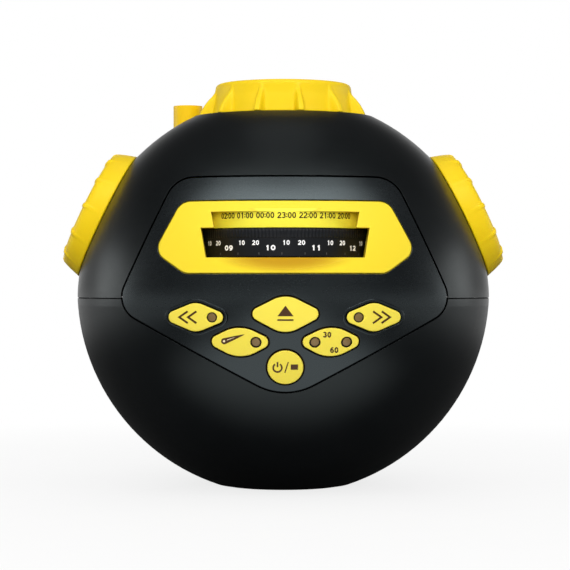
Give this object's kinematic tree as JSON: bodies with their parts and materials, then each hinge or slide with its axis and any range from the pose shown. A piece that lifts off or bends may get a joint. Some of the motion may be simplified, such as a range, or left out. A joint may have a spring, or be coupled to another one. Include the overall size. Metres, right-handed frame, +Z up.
{
  "type": "planetarium projector",
  "caption": "Ball-shaped tabletop star projector with a hinged lid, focus ring, side knobs, date drum window and push-buttons.",
  "frame": {"origin": "centre of the rubber foot's underside, on the table", "axes": "+Z up along the optical axis, -Y towards the user and the front panel, +X to the user's right"},
  "size_m": [0.1806, 0.1752, 0.1634],
  "materials": {
    "shell_black": "satin moulded",
    "panel_black": "satin moulded",
    "bezel_yellow": "soft satin",
    "key_yellow": "soft satin",
    "dial_yellow": "soft satin, slightly translucent",
    "tube_orange": "satin",
    "drum_black": "matt with printed scale",
    "foot_rubber": "matt",
    "deck_plastic": "fine grain",
    "inner_plastic": "fine grain",
    "gear_white": "smooth acetal",
    "disc_film": "printed film disc",
    "board_green": "solder mask",
    "screw_steel": "zinc plated",
    "motor_metal": "drawn can",
    "cell_metal": "plain jacket",
    "lamp_amber": "smoked amber",
    "clear_plastic": "clear",
    "lens_clear": "polished"
  },
  "bodies": {
    "base": {"lower_shell": "shell_black", "front_panel": "panel_black", "window_bezel": "bezel_yellow", "rubber_foot": "foot_rubber", "chassis_deck": "deck_plastic", "deck_screws": "screw_steel", "panel_screws": "screw_steel", "lamp_post": "inner_plastic", "star_led_board": "board_green", "star_led": "clear_plastic", "condenser_lens": "lens_clear", "gear_motor": "motor_metal", "drum_spindle": "screw_steel", "button_board": "board_green", "tact_switches": "inner_plastic", "indicator_leds": "lamp_amber", "battery_box": "inner_plastic", "battery_cells": "cell_metal", "battery_contacts": "screw_steel", "main_board": "board_green", "dc_jack": "inner_plastic", "hinge_pin": "screw_steel"},
    "lid": {"upper_shell": "shell_black", "lens_collar": "inner_plastic", "collar_screws": "screw_steel", "left_pot": "motor_metal", "right_pot": "motor_metal", "meteor_tube": "tube_orange", "meteor_lens": "lens_clear", "meteor_led": "board_green", "lid_catches": "inner_plastic"},
    "focus": {"focus_ring": "dial_yellow"},
    "barrel": {"lens_barrel": "inner_plastic", "front_lens": "lens_clear", "rear_lens": "lens_clear", "lens_retainers": "inner_plastic"},
    "left_dial": {"left_knob": "dial_yellow"},
    "right_dial": {"right_knob": "dial_yellow"},
    "drum": {"date_drum": "drum_black", "drum_gear": "gear_white"},
    "star_table": {"turntable": "gear_white", "star_disc": "disc_film"},
    "pinion": {"drive_pinion": "gear_white"},
    "rewind_key": {"rewind_button": "key_yellow"},
    "forward_key": {"forward_button": "key_yellow"},
    "eject_key": {"eject_button": "key_yellow"},
    "meteor_key": {"meteor_button": "key_yellow"},
    "timer_key": {"timer_button": "key_yellow"},
    "power_key": {"power_button": "key_yellow"},
    "latch": {"latch_slide": "inner_plastic"},
    "battery_cover": {"battery_door": "shell_black", "battery_door_screw": "screw_steel"}
  },
  "joints": [
    {"name": "lid_open", "type": "hinge", "parent": "base", "child": "lid", "pos_m": [0, 0.0876, 0.0764], "axis": [-1, 0, 0], "range_deg": [0, 60]},
    {"name": "focus_turn", "type": "hinge", "parent": "lid", "child": "focus", "pos_m": [0, 0, 0.155], "axis": [0, 0, 1], "range_deg": [-90, 90]},
    {"name": "barrel_travel", "type": "slide", "parent": "lid", "child": "barrel", "axis": [0, 0, 1], "range_m": [-0.0021, 0.0021]},
    {"name": "left_dial_turn", "type": "hinge", "parent": "lid", "child": "left_dial", "pos_m": [0, 0, 0.0746], "axis": [-0.8988, 0, 0.4384], "range_deg": [-135, 135]},
    {"name": "right_dial_turn", "type": "hinge", "parent": "lid", "child": "right_dial", "pos_m": [0, 0, 0.0746], "axis": [0.8988, 0, 0.4384], "range_deg": [-135, 135]},
    {"name": "star_turn", "type": "hinge", "parent": "base", "child": "star_table", "pos_m": [0, 0, 0.1], "axis": [0, 0, 1], "continuous": true},
    {"name": "date_turn", "type": "hinge", "parent": "base", "child": "drum", "pos_m": [0, -0.046, 0.1], "axis": [0, 0, 1], "continuous": true},
    {"name": "pinion_turn", "type": "hinge", "parent": "base", "child": "pinion", "pos_m": [0, 0.029, 0.1], "axis": [0, 0, 1], "continuous": true},
    {"name": "cover_slide", "type": "slide", "parent": "base", "child": "battery_cover", "axis": [0, 0.8192, -0.5736], "range_m": [0, 0.012]},
    {"name": "latch_travel", "type": "slide", "parent": "base", "child": "latch", "axis": [0, 0.9816, 0.1908], "range_m": [0, 0.00125]},
    {"name": "rewind_press", "type": "slide", "parent": "base", "child": "rewind_key", "axis": [0, 0.9816, 0.1908], "range_m": [0, 0.0012], "stiffness_N_per_m": 250, "springref_m": -0.0006},
    {"name": "forward_press", "type": "slide", "parent": "base", "child": "forward_key", "axis": [0, 0.9816, 0.1908], "range_m": [0, 0.0012], "stiffness_N_per_m": 250, "springref_m": -0.0006},
    {"name": "eject_press", "type": "slide", "parent": "base", "child": "eject_key", "axis": [0, 0.9816, 0.1908], "range_m": [0, 0.0012], "stiffness_N_per_m": 250, "springref_m": -0.0006},
    {"name": "meteor_press", "type": "slide", "parent": "base", "child": "meteor_key", "axis": [0, 0.9816, 0.1908], "range_m": [0, 0.0012], "stiffness_N_per_m": 250, "springref_m": -0.0006},
    {"name": "timer_press", "type": "slide", "parent": "base", "child": "timer_key", "axis": [0, 0.9816, 0.1908], "range_m": [0, 0.0012], "stiffness_N_per_m": 250, "springref_m": -0.0006},
    {"name": "power_press", "type": "slide", "parent": "base", "child": "power_key", "axis": [0, 0.9816, 0.1908], "range_m": [0, 0.0012], "stiffness_N_per_m": 250, "springref_m": -0.0006}
  ],
  "couplings": [
    {"joint": "barrel_travel", "follows": "focus_turn", "m_per_rad": 0.00127},
    {"joint": "date_turn", "follows": "star_turn", "ratio": -1},
    {"joint": "pinion_turn", "follows": "star_turn", "ratio": -3.8333},
    {"joint": "latch_travel", "follows": "eject_press", "ratio": 1}
  ]
}
